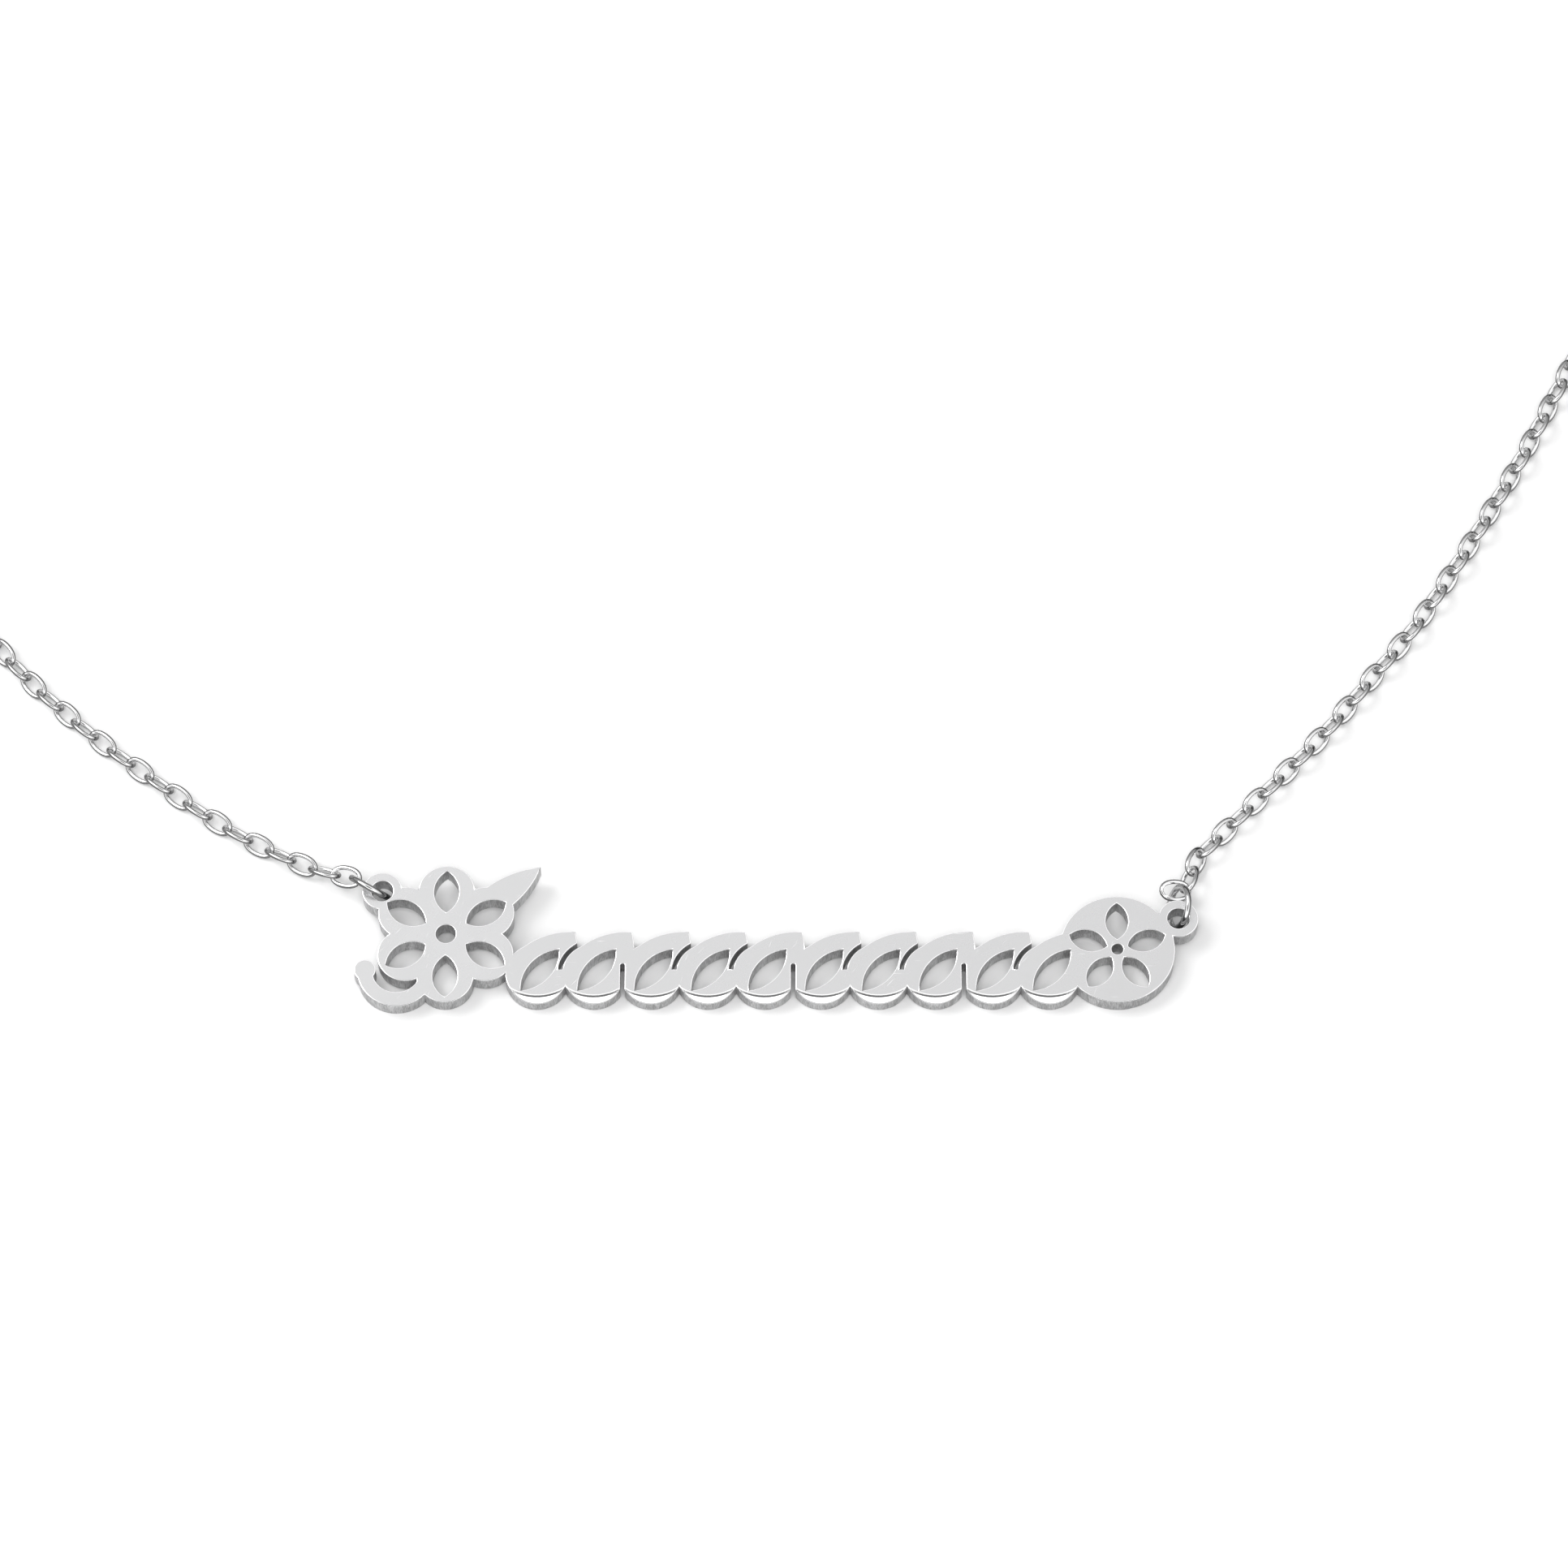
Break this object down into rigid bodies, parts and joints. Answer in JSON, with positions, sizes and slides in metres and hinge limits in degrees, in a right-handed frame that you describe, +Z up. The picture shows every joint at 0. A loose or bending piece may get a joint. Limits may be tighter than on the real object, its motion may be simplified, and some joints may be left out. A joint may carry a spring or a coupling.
{
  "type": "nameplate necklace",
  "caption": "Pierced steel plate necklace lying open in a loop, with an eyelet at each end, jump rings, a fine cable chain and a plain tube clasp.",
  "frame": {"origin": "middle of the whole loop in plan, on the surface that the necklace lies on", "axes": "+X along the plate to the right eyelet, +Y from the plate towards the clasp, +Z up from the surface"},
  "size_m": [0.1259, 0.1345, 0.0027],
  "materials": {
    "polished_plate": "fine satin polish on the face, bright polished edges and bevels",
    "bright_wire": "bright polished stainless steel wire",
    "clasp_steel": "bright polished stainless steel"
  },
  "bodies": {
    "root": {"nameplate": "polished_plate", "jump_ring_left": "bright_wire", "jump_ring_right": "bright_wire", "chain_left": "bright_wire", "chain_right": "bright_wire", "clasp": "clasp_steel"}
  },
  "joints": []
}
